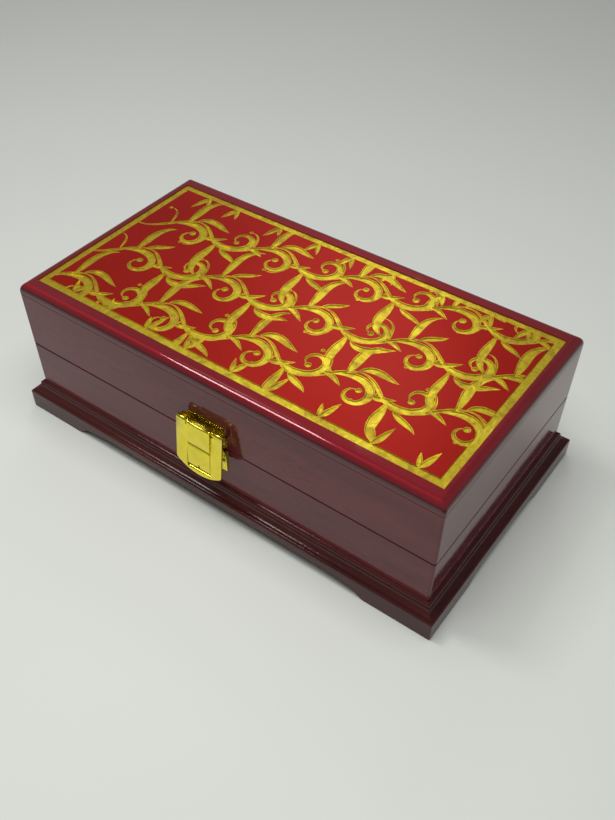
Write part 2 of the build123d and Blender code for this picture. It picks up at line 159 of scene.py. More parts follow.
# Lever, in millimetres: its rolled corners and the bevel at the foot of its window. Each
# inset in roll_ends goes with a distance from that end, and hook_turn is how many degrees
# the hook has turned in the lever's window once the lever is wide open.
lever_half = 13.6
roll_inner_end = 8.0
roll_radius = 1.38
roll_ends = ((0.3, 0.0), (0.1, 0.1), (0.0, 0.34))
roll_sides = 44
roll_bore = 0.58
bore_margin = 1.0
bore_sides = 24
window_half = 7.0
heel_reach = 3.5
heel_room = 0.12
hook_turn = 121.0

# Bent plate of the hook, in millimetres and degrees: roll, crease, bent and dished top, the
# gap in the middle of its roll, the scored line of its crease, and shares of the way from the
# roll to the crease at which the plate has rows of points
hook_half = 6.75
hook_sheet = 0.8
hook_roll = 1.15
hook_bore = 0.6
hook_roll_start = -265.0
hook_roll_steps = 30
hook_crease = (7.25, 44.3)
hook_top = 56.55
hook_back = 3.1
hook_bend = 0.95
hook_bend_steps = 8
hook_top_depth = 6.2
hook_stations = 14
hook_dish = 0.5
dish_rise = 8.0
dish_start = 0.6
dish_run = 1.6
hook_split = 0.9
split_depth = 4.0
split_extra = 0.6
split_drop = 0.1
score_width = 0.32
score_depth = 0.2
plate_rows = (0.12, 0.5)

# Edges of metal pieces: width and steps of the rounding, distance at which points are one,
# and angles in degrees from which an edge is rounded or shaded sharp
metal_edge = 0.12 * MM
metal_edge_steps = 2
weld_distance = 0.002 * MM
sheet_edge_angle = 40
hook_edge_angle = 50
sharp_angle = 50
screw_sharp_angle = 35

# Velvet boards and pads: rolled edges, waviness, and the shape of a pad: how far its sides
# are pulled in, and shares of its thickness at its sides and in its crown
board_roll = 0.55 * MM
board_roll_steps = 4
board_waves = 24
board_wave_depth = 0.12 * MM
board_wave = 60.0
pad_grid = (80, 40)
pad_gather = 1.6
pad_pull_long = 0.010
pad_pull_short = 0.016
pad_roll = 1.1
pad_side = 0.72
pad_crown = 0.28
pad_crown_power = 4
pad_dimple = 55.0
pad_dimple_depth = 0.05

# Carving of the lid panel, in millimetres: lip and wall of a stroke, depth from which it is
# gilt, and the narrowest lip or floor, thinnest half width and smallest triangle it has
carved_lip = 0.3
carved_wall = 0.26
gilt_from = 0.06
least_floor = 0.08
least_half = 0.06
least_area = 1e-5
plan_weld = 1e-4
drop_sides = 22
carved_sharp_angle = 28

# Brush strokes: length of a step, fewest steps, how soon a stroke swells, and how far past
# its half width a sample of it is looked for
stroke_step = 1.3
stroke_least_steps = 8
stroke_swell = 0.85
stroke_reach = 0.7

# Vines of the lid panel, in millimetres: length and height of a wave, slope, start outside
# the panel, samples in a wave, and width of the stem
ornament_seed = 11
vine_wave = 50.0
vine_height = 7.6
vine_slope = 0.13
vine_start = 8.0
vine_steps = 40
stem_thin = 0.4
stem_swell = 0.65
stem_power = 1.5
# each vine: height of its middle, which way it starts, share of a wave it starts at
vines = ((33.5, 1, 0.55), (0.5, -1, 0.15), (-32.5, 1, 0.85))

# Strokes that grow from a vine: lean off its heading, length, bend in degrees a millimetre
# at the start and at the end, width, where it is widest, how late it bends, and how far the
# length and the width vary
scroll_stroke = (2, 50, 2.4, 17.0, 4.2, 0.36, 1.6, 0.05, 0.08)
frond_stroke = (-30, 30, -3.5, 7.5, 4.6, 0.45, 1.0, 0.12, 0.12)
curl_stroke = (84, 14, -12.0, 3.0, 3.0, 0.36, 1.0, 0.12, 0.1)
tendril_stroke = (-75, 17, 5.0, -15.0, 1.3, 0.3, 1.0, 0.15, 0.0)
leaf_strokes = (
    (-62, 22, 11.0, -4.0, 4.0, 0.42, 1.0, 0.12, 0.1),
    (-40, 16, 6.0, -6.0, 3.2, 0.42, 1.0, 0.12, 0.1),
)
# where the frond and the curl leave the scroll, how far ahead of them on the vine the leaf
# grows, how early on the vine the first scroll may be, and the drops at the ends
frond_share = 0.16
curl_share = 0.5
leaf_lead = 0.21
vine_early = -0.05
scroll_drop = 1.6
scroll_drop_play = 0.1
tendril_drop = 1.0

# Sprigs along the long edges: lean, length and width of the two leaves of each
sprigs = 9
sprig_first = 14
sprig_space = 24.5
sprig_play = 3
sprig_leaves = ((-36, 12, 3.2), (8, 9, 2.4))
sprig_length_play = 0.15
sprig_bend = (5.0, -3.0)
sprig_belly = 0.3
sprig_root = 0.6
sprig_outside = 0.5


def link(obj):
    bpy.context.scene.collection.objects.link(obj)
    return obj


def new_object(name, mesh):
    return link(bpy.data.objects.new(name, mesh))


# Materials


class Paint:
    """One node material: a Principled shader and short ways to add nodes to it."""

    def __init__(self, name):
        self.material = bpy.data.materials.new(name)
        self.material.use_nodes = True
        self.tree = self.material.node_tree
        self.shader = self.tree.nodes["Principled BSDF"]
        self.place = self.node("ShaderNodeTexCoord").outputs["Object"]

    def node(self, kind, **values):
        made = self.tree.nodes.new(kind)
        for key, value in values.items():
            setattr(made, key, value)
        return made

    def join(self, source, target):
        self.tree.links.new(source, target)

    def set(self, **values):
        for key, value in values.items():
            self.shader.inputs[key.replace("_", " ")].default_value = value

    def drive(self, source, name):
        self.join(source, self.shader.inputs[name])

    def stretched(self, scale):
        mapping = self.node("ShaderNodeMapping")
        mapping.inputs["Scale"].default_value = scale
        self.join(self.place, mapping.inputs["Vector"])
        return mapping.outputs["Vector"]

    def grain(self, scale, detail=4.0, roughness=0.55, distortion=0.0):
        made = self.node("ShaderNodeTexNoise")
        made.inputs["Scale"].default_value = 1.0
        made.inputs["Detail"].default_value = detail
        made.inputs["Roughness"].default_value = roughness
        made.inputs["Distortion"].default_value = distortion
        self.join(self.stretched(scale), made.inputs["Vector"])
        return made.outputs["Fac"]

    def height(self):
        split = self.node("ShaderNodeSeparateXYZ")
        self.join(self.place, split.inputs["Vector"])
        return split.outputs["Z"]

    def ramp(self, source, *stops):
        made = self.node("ShaderNodeValToRGB")
        elements = made.color_ramp.elements
        while len(elements) < len(stops):
            elements.new(0.5)
        for element, (place, colour) in zip(elements, stops):
            element.position = place
            element.color = (*colour, 1.0)
        self.join(source, made.inputs["Fac"])
        return made.outputs["Color"]

    def span(self, source, low, high, low_out, high_out):
        made = self.node("ShaderNodeMapRange")
        for name, value in zip(
            ("From Min", "From Max", "To Min", "To Max"), (low, high, low_out, high_out)
        ):
            made.inputs[name].default_value = value
        self.join(source, made.inputs["Value"])
        return made.outputs["Result"]

    def mix(self, factor, first, second, blend="MIX"):
        made = self.node("ShaderNodeMix", data_type="RGBA", blend_type=blend)
        for name, value in (("Factor", factor), ("A", first), ("B", second)):
            socket = [s for s in made.inputs if s.name == name and s.enabled][0]
            if isinstance(value, tuple):
                socket.default_value = (*value, 1.0)
            elif isinstance(value, float):
                socket.default_value = value
            else:
                self.join(value, socket)
        return [s for s in made.outputs if s.enabled][0]

    def darken(self, share, colour, pattern, low, high, shade):
        """Multiplies a colour by a pattern that rises from a shade to white."""
        marks = self.ramp(pattern, (low, shade), (high, white))
        return self.mix(share, colour, marks, "MULTIPLY")

    def bump(self, height, depth, strength=1.0, after=None):
        made = self.node("ShaderNodeBump")
        made.inputs["Strength"].default_value = strength
        made.inputs["Distance"].default_value = depth
        self.join(height, made.inputs["Height"])
        if after is not None:
            self.join(after, made.inputs["Normal"])
        return made.outputs["Normal"]


def thrice(value):
    """The same number for all three axes or colour channels."""
    return (value, value, value)


def along(axis, scales):
    """Texture scale that is stretched along one axis, as wood grain is."""
    fine, coarse = scales
    return tuple(coarse if i == axis else fine for i in range(3))


def lacquer(name, axis, colours, marks, gloss, coat, ripple, cover=1.0):
    """Red-brown wood under clear lacquer, with wavy flecks of grain along one axis."""
    paint = Paint(name)
    dark, light = colours
    broad = paint.grain(along(axis, grain_cloud), detail=3.0, distortion=0.8)
    fleck = paint.grain(along(axis, grain_fleck), detail=3.0, roughness=0.65, distortion=2.4)
    patch = paint.grain(along(axis, grain_patch), detail=2.0)
    bead = paint.grain(thrice(coat_bead), detail=2.0, roughness=0.7)
    fine = paint.grain(along(axis, grain_line), detail=3.0, distortion=0.5)
    body = paint.ramp(broad, (0.3, dark), (0.72, light))
    flecks = paint.ramp(fleck, (0.36, (0.5, 0.5, 0.52)), (0.5, white))
    flecks = paint.mix(paint.span(patch, 0.42, 0.6, 0.0, 1.0), white, flecks)
    body = paint.mix(marks, body, flecks, "MULTIPLY")
    body = paint.darken(0.5, body, fine, 0.35, 0.55, thrice(0.8))
    paint.drive(body, "Base Color")
    waves = paint.grain(thrice(coat_wave), detail=1.0)
    skin = paint.bump(waves, coat_wave_depth)
    skin = paint.bump(fleck, grain_depth, 1.0, skin)
    skin = paint.bump(bead, ripple, 1.0, skin)
    paint.drive(skin, "Coat Normal")
    paint.drive(paint.bump(fine, grain_depth), "Normal")
    paint.drive(paint.span(broad, 0.3, 0.7, gloss, gloss + 0.05), "Coat Roughness")
    paint.set(Roughness=0.5, Coat_Weight=cover, Coat_IOR=coat, Specular_IOR_Level=0.02)
    return paint.material


def crimson_lacquer():
    """Candy crimson of the lid board, darkened by painted shade down its rounded edge to the
    walls' brown.
    """
    paint = Paint("crimson_lacquer")
    dark, light = crimson_colours
    broad = paint.grain((9.0, 30.0, 30.0), detail=3.0, distortion=0.4)
    fine = paint.grain((30.0, 700.0, 700.0), detail=3.0)
    body = paint.ramp(broad, (0.3, dark), (0.7, light))
    body = paint.darken(0.25, body, fine, 0.35, 0.6, thrice(0.6))
    height = paint.height()
    foot, top = (corner.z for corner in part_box("lid_top_board"))
    # painted shade: the rounded edge goes from the walls' brown at its foot to a dark colour,
    # then to crimson at the top
    shade = paint.span(height, top - painted_shade_foot, top - painted_shade_head, 0.0, 1.0)
    below = paint.span(height, foot + edge_foot_rise, top - painted_shade_foot, 0.0, 1.0)
    edge = paint.mix(below, edge_foot, edge_painted_shade)
    metallic = paint.span(height, top - metallic_foot, top - metallic_head, 0.0, metallic_most)
    paint.drive(paint.mix(shade, edge, body), "Base Color")
    paint.drive(metallic, "Metallic")
    paint.drive(paint.span(height, foot, top - coat_head, coat_least, 1.0), "Coat Weight")
    waves = paint.grain(thrice(42.0), detail=1.0)
    paint.drive(paint.bump(waves, 0.05 * MM), "Coat Normal")
    paint.drive(paint.span(broad, 0.3, 0.7, 0.04, 0.07), "Coat Roughness")
    paint.set(Roughness=0.42, Specular_IOR_Level=0.02, Coat_IOR=1.6)
    return paint.material


def red_panel():
    """Satin candy red metal, the ground of the inlaid panel."""
    paint = Paint("red_panel")
    dark, light = panel_colours
    broad = paint.grain(thrice(14.0), detail=3.0, distortion=0.5)
    fleck = paint.grain(thrice(2600.0), detail=1.0)
    body = paint.ramp(broad, (0.3, dark), (0.7, light))
    body = paint.darken(0.35, body, fleck, 0.3, 0.7, thrice(0.6))
    paint.drive(body, "Base Color")
    paint.drive(paint.span(broad, 0.3, 0.7, 0.38, 0.45), "Roughness")
    paint.drive(paint.bump(fleck, 0.006 * MM), "Normal")
    paint.set(Metallic=0.85, Specular_IOR_Level=0.2, Coat_Weight=0.1, Coat_Roughness=0.25)
    return paint.material


def gilt_paint():
    """Gold leaf laid in the carving: mottled, a little lumpy and satin."""
    paint = Paint("gilt_border")
    dark, middle, light = gold_colours
    lump = paint.grain(thrice(520.0), detail=3.0)
    cloud = paint.grain(thrice(170.0), roughness=0.65, distortion=0.8)
    body = paint.ramp(cloud, (0.32, dark), (0.5, middle), (0.7, light))
    body = paint.darken(0.4, body, lump, 0.3, 0.6, (0.62, 0.6, 0.5))
    paint.drive(body, "Base Color")
    paint.drive(paint.span(cloud, 0.3, 0.7, 0.46, 0.28), "Roughness")
    skin = paint.bump(cloud, 0.22 * MM)
    paint.drive(paint.bump(lump, 0.09 * MM, 0.8, skin), "Normal")
    paint.set(Metallic=0.9)
    return paint.material


def brass(name, colour, dull, shine, brush_axis, brush_depth):
    """Brass with fine brush lines along one axis and a clouded polish."""
    paint = Paint(name)
    lines = paint.grain(along(brush_axis, brush_line), detail=2.0)
    cloud = paint.grain(thrice(160.0), detail=3.0)
    darker = tuple(c * 0.86 for c in colour)
    paint.drive(paint.ramp(cloud, (0.3, darker), (0.7, colour)), "Base Color")
    paint.drive(paint.span(cloud, 0.3, 0.7, dull, shine), "Roughness")
    paint.drive(paint.bump(lines, brush_depth, 0.8), "Normal")
    paint.set(Metallic=1.0)
    return paint.material


def velvet():
    """Deep red velvet pile with a soft sheen and brushed patches."""
    paint = Paint("velvet")
    dark, light = velvet_colours
    nap = paint.grain(thrice(45.0), distortion=1.0)
    pile = paint.grain(thrice(2400.0), detail=2.0)
    body = paint.ramp(nap, (0.32, dark), (0.68, light))
    body = paint.darken(0.5, body, pile, 0.35, 0.65, thrice(0.45))
    paint.drive(body, "Base Color")
    skin = paint.bump(nap, 0.5 * MM)
    paint.drive(paint.bump(pile, 0.15 * MM, 0.9, skin), "Normal")
    paint.set(Roughness=0.9, Specular_IOR_Level=0.2)
    paint.set(Sheen_Weight=0.8, Sheen_Roughness=0.35, Sheen_Tint=velvet_sheen)
    return paint.material


def floor_paint():
    """Plain pale floor with the faintest unevenness."""
    paint = Paint("pale_floor")
    cloud = paint.grain(thrice(2.2), detail=3.0)
    dim = tuple(c * 0.965 for c in floor_colour)
    paint.drive(paint.ramp(cloud, (0.35, dim), (0.65, floor_colour)), "Base Color")
    paint.set(Roughness=0.85, Specular_IOR_Level=0.2)
    return paint.material


def wear(names, material):
    """Gives CAD nodes a material."""
    for name in names:
        obj = nodes[name]
        obj.data.materials.clear()
        obj.data.materials.append(material)


# Pieces that replace CAD nodes


def add_piece(name, shape, body, node, slot, *materials):
    """Turns a bmesh into a piece that rides a body in place of a CAD node."""
    bmesh.ops.recalc_face_normals(shape, faces=shape.faces)
    mesh = bpy.data.meshes.new(name)
    shape.to_mesh(mesh)
    shape.free()
    for material in materials:
        mesh.materials.append(material)
    piece = new_object(name, mesh)
    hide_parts(node)
    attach(piece, body)
    return piece


def make_smooth(mesh):
    mesh.polygons.foreach_set("use_smooth", [True] * len(mesh.polygons))


def sharpen(mesh, degrees):
    """Smooth shading that keeps edges sharper than an angle."""
    make_smooth(mesh)
    mesh.set_sharp_from_angle(angle=math.radians(degrees))


def band(shape, loops):
    """Faces between each closed loop of points and the next, and one over either end."""
    count = len(loops[0])
    for low, high in zip(loops, loops[1:]):
        for i in range(count):
            j = (i + 1) % count
            shape.faces.new((low[i], low[j], high[j], high[i]))
    shape.faces.new(loops[0][::-1])
    shape.faces.new(loops[-1])


def turned_shape(shape, rings, place, count):
    """Adds a closed turned form: rings are (radius, height) along Z, placed by a matrix."""
    loops = []
    for radius, height in rings:
        loop = []
        for i in range(count):
            a = math.tau * i / count
            r = radius(a) if callable(radius) else radius
            point = Vector((r * math.cos(a), r * math.sin(a), height))
            loop.append(shape.verts.new(place @ point))
        loops.append(loop)
    band(shape, loops)


def cut(piece, cutter_shape, name, way="DIFFERENCE"):
    """Cuts a bmesh out of a piece, or joins it on, and leaves no modifier behind."""
    mesh = bpy.data.meshes.new(name)
    bmesh.ops.recalc_face_normals(cutter_shape, faces=cutter_shape.faces)
    cutter_shape.to_mesh(mesh)
    cutter_shape.free()
    cutter = new_object(name, mesh)
    change = piece.modifiers.new("cut", "BOOLEAN")
    change.operation = way
    change.object = cutter
    change.solver = "EXACT"
    change.use_self = True
    settle(piece)
    bpy.data.objects.remove(cutter)
    bpy.data.meshes.remove(mesh)


def settle(piece):
    """Applies every modifier of a piece to its mesh."""
    graph = bpy.context.evaluated_depsgraph_get()
    done = bpy.data.meshes.new_from_object(piece.evaluated_get(graph))
    old = piece.data
    piece.modifiers.clear()
    piece.data = done
    done.name = old.name
    bpy.data.meshes.remove(old)


def bevel_edges(obj, angle):
    """Modifiers for small rounded edges on a metal object, so that they catch the light."""
    weld = obj.modifiers.new("weld", "WELD")
    weld.merge_threshold = weld_distance
    bevel = obj.modifiers.new("soft_edges", "BEVEL")
    bevel.width = metal_edge
    bevel.segments = metal_edge_steps
    bevel.limit_method = "ANGLE"
    bevel.angle_limit = math.radians(angle)


def round_edges(piece, angle):
    """Small rounded edges, applied to the mesh of a piece."""
    bevel_edges(piece, angle)
    settle(piece)
    sharpen(piece.data, sharp_angle)


def thread_radius(height):
    """Radius of a screw thread as it winds round at one height."""
    run = screw_length - thread_start

    def radius(angle):
        turn = (height / thread_pitch - angle / math.tau) % 1.0
        ridge = max(0.0, 1.0 - abs(turn - 0.5) * 2.0 / thread_share)
        taper = 1.0 - thread_taper * max(0.0, (height - thread_start) / run) ** 2
        return (screw_core + ridge * thread_rise) * taper

    return radius


def cross_cutter(place):
    """Two crossed wedges that cut the driver recess of one screw."""
    cutter = bmesh.new()
    for turn in (0.0, math.pi / 2):
        for vert in bmesh.ops.create_cube(cutter, size=1.0)["verts"]:
            narrow = 1.0 if vert.co.z < 0 else recess_narrowing
            point = Vector((
                vert.co.x * recess_length * narrow,
                vert.co.y * recess_width,
                vert.co.z * 2 * recess_depth,
            ))
            vert.co = place @ (Matrix.Rotation(turn, 4, "Z") @ point)
    return cutter


def screw_rings():
    """Head, core and thread of a hinge screw, from its head to its tip."""
    run = screw_length - thread_start
    steps = int(run / thread_pitch * thread_steps)
    rings = [(screw_head, 0.0), (screw_core, screw_leaf), (screw_core, thread_start)]
    for i in range(steps):
        height = thread_start + run * i / steps
        rings.append((thread_radius(height), height))
    rings.append((screw_tip, screw_length))
    return rings


def hinge_screws(body, way, material):
    """Countersunk brass screws with a cross recess and a wood thread."""
    node = "hinge_" + body + "_screws"
    low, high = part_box(node)
    face = low.z if way > 0 else high.z
    shape = bmesh.new()
    places = []
    step = hinge_width / 2 - screw_margin
    for hinge_x in (-hinge_place, hinge_place):
        for x in (hinge_x - step, hinge_x + step):
            place = Matrix.Translation((x, (low.y + high.y) / 2, face))
            if way < 0:
                place = place @ Matrix.Rotation(math.pi, 4, "X")
            places.append(place)
            turned_shape(shape, screw_rings(), place, screw_sides)
    piece = add_piece(node + "_threaded", shape, body, node, "hinge_brass", material)
    for place in places:
        cut(piece, cross_cutter(place), "recess_cutter")
    sharpen(piece.data, screw_sharp_angle)


def latch_nails(body, node, material):
    """Domed brass nails that hold a latch plate."""
    low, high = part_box(node)
    face = low.y + nail_head_height
    middle = (low.z + high.z) / 2
    shape = bmesh.new()
    rings = []
    for i in range(dome_steps + 1):
        tilt = math.radians(dome_angle - dome_angle * i / dome_steps)
        rings.append((nail_head * math.cos(tilt), nail_head_height * math.sin(tilt)))
    rings.append((nail_shank, 0.0))
    rings.append((nail_shank * nail_taper, -nail_length * nail_taper_start))
    rings.append((nail_tip, -nail_length))
    for x in (low.x + nail_head_room, high.x - nail_head_room):
        place = Matrix.Translation((x, face, middle)) @ Matrix.Rotation(math.pi / 2, 4, "X")
        turned_shape(shape, rings, place, nail_sides)
    piece = add_piece(node + "_domed", shape, body, node, "gilt_brass", material)
    sharpen(piece.data, sharp_angle)


def latch_place(x, depth, height):
    """A point of the latch, from its distance in front of the wall."""
    return Vector((joints["lever_swing"].x + x * MM, wall_face - depth * MM, height * MM))


def across_at(x, depth, height):
    """Matrix that lays a form drawn along Z across the latch."""
    place = latch_place(x, depth, height)
    return Matrix.Translation(place) @ Matrix.Rotation(math.pi / 2, 4, "Y")


def depth_and_height(joint):
    """Place of a latch joint as its distance in front of the wall and its height, in mm."""
    pivot = joints[joint]
    return (wall_face - pivot.y) / MM, pivot.z / MM


def heel_cutter():
    """Room at the foot of the lever's window for the hook's plate when the lever is wide open."""
    depth, height = depth_and_height("hook_swing")
    x, z = hook_crease
    rise = math.atan2(z - height, x - depth - hook_roll) - math.radians(hook_turn)
    along_plate = Vector((math.cos(rise), math.sin(rise)))
    outwards = Vector((along_plate.y, -along_plate.x))
    deep = hook_roll + heel_room
    shape = bmesh.new()
    loops = []
    for side in (-window_half, window_half):
        loop = []
        for run, out in ((0.0, 0.0), (heel_reach, 0.0), (heel_reach, deep), (0.0, deep)):
            place = Vector((depth, height)) + along_plate * run + outwards * out
            loop.append(shape.verts.new(latch_place(side, place.x, place.y)))
        loops.append(loop)
    band(shape, loops)
    return shape


def rolled_lever(material):
    """The lever with the round rolls that its sheet makes about the pivots."""
    shape = bmesh.new()
    shape.from_mesh(nodes["latch_lever"].data)
    bmesh.ops.remove_doubles(shape, verts=shape.verts, dist=weld_distance)
    piece = add_piece(
        "latch_lever_rolled", shape, "lever", "latch_lever", "gilt_brass", material
    )
    depth, height = depth_and_height("lever_swing")
    length = lever_half - roll_inner_end
    rings = [((roll_radius - inset) * MM, away * MM) for inset, away in roll_ends]
    for inset, away in reversed(roll_ends):
        rings.append(((roll_radius - inset) * MM, (length - away) * MM))
    for start in (roll_inner_end, -lever_half):
        roll = bmesh.new()
        turned_shape(roll, rings, across_at(start, depth, height), roll_sides)
        cut(piece, roll, "roll", "UNION")
    rod = bmesh.new()
    ends = (-bore_margin, 2 * lever_half + bore_margin)
    rings = [(roll_bore * MM, end * MM) for end in ends]
    turned_shape(rod, rings, across_at(-lever_half, depth, height), bore_sides)
    cut(piece, rod, "rod")
    cut(piece, heel_cutter(), "heel")
    round_edges(piece, sheet_edge_angle)


def hook_outline():
    """Outer and inner line of the hook's plate, as (depth, height) from its roll to its end."""
    depth, height = depth_and_height("hook_swing")
    x, z = hook_crease
    reach = math.hypot(x - depth, z - height)
    touch = math.atan2(z - height, x - depth) - math.acos(hook_roll / reach)
    roll_start = math.radians(hook_roll_start)
    outer = []
    inner = []
    for i in range(hook_roll_steps + 1):
        a = roll_start + (touch - roll_start) * i / hook_roll_steps
        for line, radius in ((outer, hook_roll), (inner, hook_bore)):
            line.append((depth + radius * math.cos(a), height + radius * math.sin(a)))
    start = outer[-1]
    for share in (*plate_rows, 1.0 - score_width / 2 / reach):
        at = (start[0] + (x - start[0]) * share, start[1] + (z - start[1]) * share)
        outer.append(at)
        inner.append((at[0] - hook_sheet, at[1]))
    outer.append((x - score_depth, z))
    inner.append((x - hook_sheet, z))
    normal = Vector((hook_top - z, x - hook_top_depth)).normalized()
    outer.append((x - score_width / 2 * normal.y, z + score_width / 2))
    inner.append((outer[-1][0] - hook_sheet, outer[-1][1]))
    middle_z = hook_top - hook_bend
    middle_x = (normal.dot(Vector((x, z))) - hook_bend - normal.y * middle_z) / normal.x
    first = math.atan2(normal.y, normal.x)
    for i in range(hook_bend_steps + 1):
        a = first + (math.pi / 2 - first) * i / hook_bend_steps
        way = Vector((math.cos(a), math.sin(a)))
        for line, radius in ((outer, hook_bend), (inner, hook_bend - hook_sheet)):
            line.append((middle_x + way.x * radius, middle_z + way.y * radius))
    for share in (0.5, 1.0):
        at = middle_x + (hook_back - middle_x) * share
        outer.append((at, hook_top))
        inner.append((at, hook_top - hook_sheet))
    return outer, inner


def dish_sag(share, depth, height):
    """How far the dish at the hook's top lets a point down; share runs across, -1 to 1."""
    if height <= hook_crease[1] + dish_rise:
        return 0.0
    forward = min(1.0, max(0.0, (depth - hook_back - dish_start) / dish_run))
    return hook_dish * (1.0 - share * share) * forward * forward


def split_cutter():
    """Gap in the middle of the hook's roll."""
    pivot = joints["hook_swing"]
    gap = bmesh.new()
    tall = 2 * hook_roll + split_extra
    for vert in bmesh.ops.create_cube(gap, size=1.0)["verts"]:
        x, y, z = vert.co
        place = Vector((x * hook_split, y * split_depth, z * tall - split_drop))
        vert.co = pivot + place * MM
    return gap


def bent_hook(material):
    """The hook: a plate rolled round its pin, scored at its crease, its top bent and dished."""
    outer, inner = hook_outline()
    ring = outer + inner[::-1]
    shape = bmesh.new()
    loops = []
    for k in range(hook_stations + 1):
        share = 2.0 * k / hook_stations - 1.0
        loop = []
        for depth, height in ring:
            place = latch_place(share * hook_half, depth, height - dish_sag(share, depth, height))
            loop.append(shape.verts.new(place))
        loops.append(loop)
    band(shape, loops)
    piece = add_piece("latch_hook_bent", shape, "hook", "latch_hook", "gilt_brass", material)
    cut(piece, split_cutter(), "split")
    round_edges(piece, hook_edge_angle)


def velvet_board(node, body, material):
    """Thin board wrapped in velvet, with rolled edges and a faint waviness."""
    low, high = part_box(node)
    size = high - low
    middle = (low + high) / 2
    long_axis = 0 if size.x > size.y else 1
    thin_axis = 1 - long_axis
    shape = bmesh.new()
    bmesh.ops.create_cube(shape, size=1.0)
    for vert in shape.verts:
        vert.co = low + Vector((size[i] * (vert.co[i] + 0.5) for i in range(3)))
    bmesh.ops.bevel(
        shape,
        geom=shape.edges[:],
        offset=board_roll,
        segments=board_roll_steps,
        profile=0.5,
        affect="EDGES",
    )
    normal = Vector((1.0, 0.0, 0.0)) if long_axis == 0 else Vector((0.0, 1.0, 0.0))
    for i in range(1, board_waves):
        point = low.copy()
        point[long_axis] += size[long_axis] * i / board_waves
        everything = shape.verts[:] + shape.edges[:] + shape.faces[:]
        bmesh.ops.bisect_plane(shape, geom=everything, plane_co=point, plane_no=normal)
    for vert in shape.verts:
        wave = 0.5 + 0.5 * noise.noise(vert.co * board_wave)
        inwards = math.copysign(1.0, middle[thin_axis] - vert.co[thin_axis])
        vert.co[thin_axis] += inwards * wave * board_wave_depth
        if vert.co.z > middle.z:
            vert.co.z -= wave * board_wave_depth
    make_smooth(add_piece(node + "_velvet", shape, body, node, "velvet", material).data)


def gathered(i, count):
    """Grid line i of count as a share from -1 to 1, with the lines closer at both ends."""
    t = 2.0 * i / count - 1.0
    return math.copysign(1.0 - (1.0 - abs(t)) ** pad_gather, t)


def rolled_off(t, roll):
    """Height share that falls off round over the last part of a span from -1 to 1."""
    over = max(0.0, abs(t) - 1.0 + roll) / roll
    return math.sqrt(max(0.0, 1.0 - over * over))


def velvet_pad(node, body, up, material):
    """Thin foam pad under velvet: crowned, its sides pulled in, flat where it rests."""
    low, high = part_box(node)
    centre = (low + high) / 2
    half = (high - low) / 2
    thick = high.z - low.z
    rest = low.z if up > 0 else high.z
    roll_x = pad_roll * thick / half.x
    roll_y = pad_roll * thick / half.y
    across, deep = pad_grid
    shape = bmesh.new()

    def crowned_height(u, v, x, y):
        power = pad_crown_power
        crown = pad_side + pad_crown * (1.0 - u ** power) * (1.0 - v ** power)
        height = thick * crown * rolled_off(u, roll_x) * rolled_off(v, roll_y)
        dimple = noise.noise(Vector((x, y, 0.0)) * pad_dimple)
        return height * (1.0 - pad_dimple_depth * (0.5 + 0.5 * dimple))

    # the crowned grid first, then the flat one, which shares the points of its edge
    grids = []
    for crowned in (True, False):
        grid = []
        for j in range(deep + 1):
            v = gathered(j, deep)
            row = []
            for i in range(across + 1):
                u = gathered(i, across)
                x = u * half.x * (1.0 - pad_pull_long * (1.0 - v * v))
                y = v * half.y * (1.0 - pad_pull_short * (1.0 - u * u))
                edge = i in (0, across) or j in (0, deep)
                if edge and not crowned:
                    row.append(grids[0][j][i])
                    continue
                height = crowned_height(u, v, x, y) if crowned and not edge else 0.0
                row.append(shape.verts.new((centre.x + x, centre.y + y, rest + up * height)))
            grid.append(row)
        grids.append(grid)
    for grid in grids:
        for j in range(deep):
            for i in range(across):
                corners = (grid[j][i], grid[j][i + 1], grid[j + 1][i + 1], grid[j + 1][i])
                shape.faces.new(corners)
    piece = add_piece(node + "_velvet", shape, body, node, "velvet", material)
    make_smooth(piece.data)


# Ornament of the lid panel


def flourish(x, y, heading, length, first_turn, last_turn, fat, belly, growth, start=0.0):
    """A brush stroke as (x, y, half width) samples; its bend goes from one turn to another."""
    steps = max(stroke_least_steps, int(length / stroke_step))
    step = length / steps
    angle = math.radians(heading)
    samples = []
    for i in range(steps + 1):
        t = i / steps
        swell = t / belly if t < belly else (1.0 - t) / (1.0 - belly)
        half = 0.5 * fat * math.sin(0.5 * math.pi * swell) ** stroke_swell
        if t < belly:
            half = max(half, 0.5 * start * (1.0 - swell))
        samples.append((x, y, max(half, least_half)))
        angle += math.radians(first_turn + (last_turn - first_turn) * t ** growth) * step
        x += math.cos(angle) * step
        y += math.sin(angle) * step
    return samples


def vine_point(vine, t, half_length):
    """Place, heading and phase of a vine t waves along it."""
    middle, up, start = vine
    x = -half_length - vine_start + vine_wave * t
    phase = math.tau * (t + start)
    y = middle + vine_slope * x + up * vine_height * math.sin(phase)
    rise = vine_slope * vine_wave + up * vine_height * math.cos(phase) * math.tau
    return x, y, math.degrees(math.atan2(rise, vine_wave)), phase


def near(rng, value, play):
    """A value that varies a little, drawn only where it may vary."""
    if play == 0.0:
        return value
    return value * (1.0 + rng.uniform(-play, play))


def grown(rng, x, y, heading, side, stroke):
    """A stroke of one kind, grown to one side of a heading."""
    lean, length, first_turn, last_turn, fat, belly, growth, length_play, fat_play = stroke
    return flourish(
        x,
        y,
        heading + side * lean,
        near(rng, length, length_play),
        side * first_turn,
        side * last_turn,
        near(rng, fat, fat_play),
        belly,
        growth,
    )


def end_drop(stroke, radius):
    """A round drop at the end of a stroke, as a stroke of one sample."""
    x, y, _ = stroke[-1]
    return [(x, y, radius)]


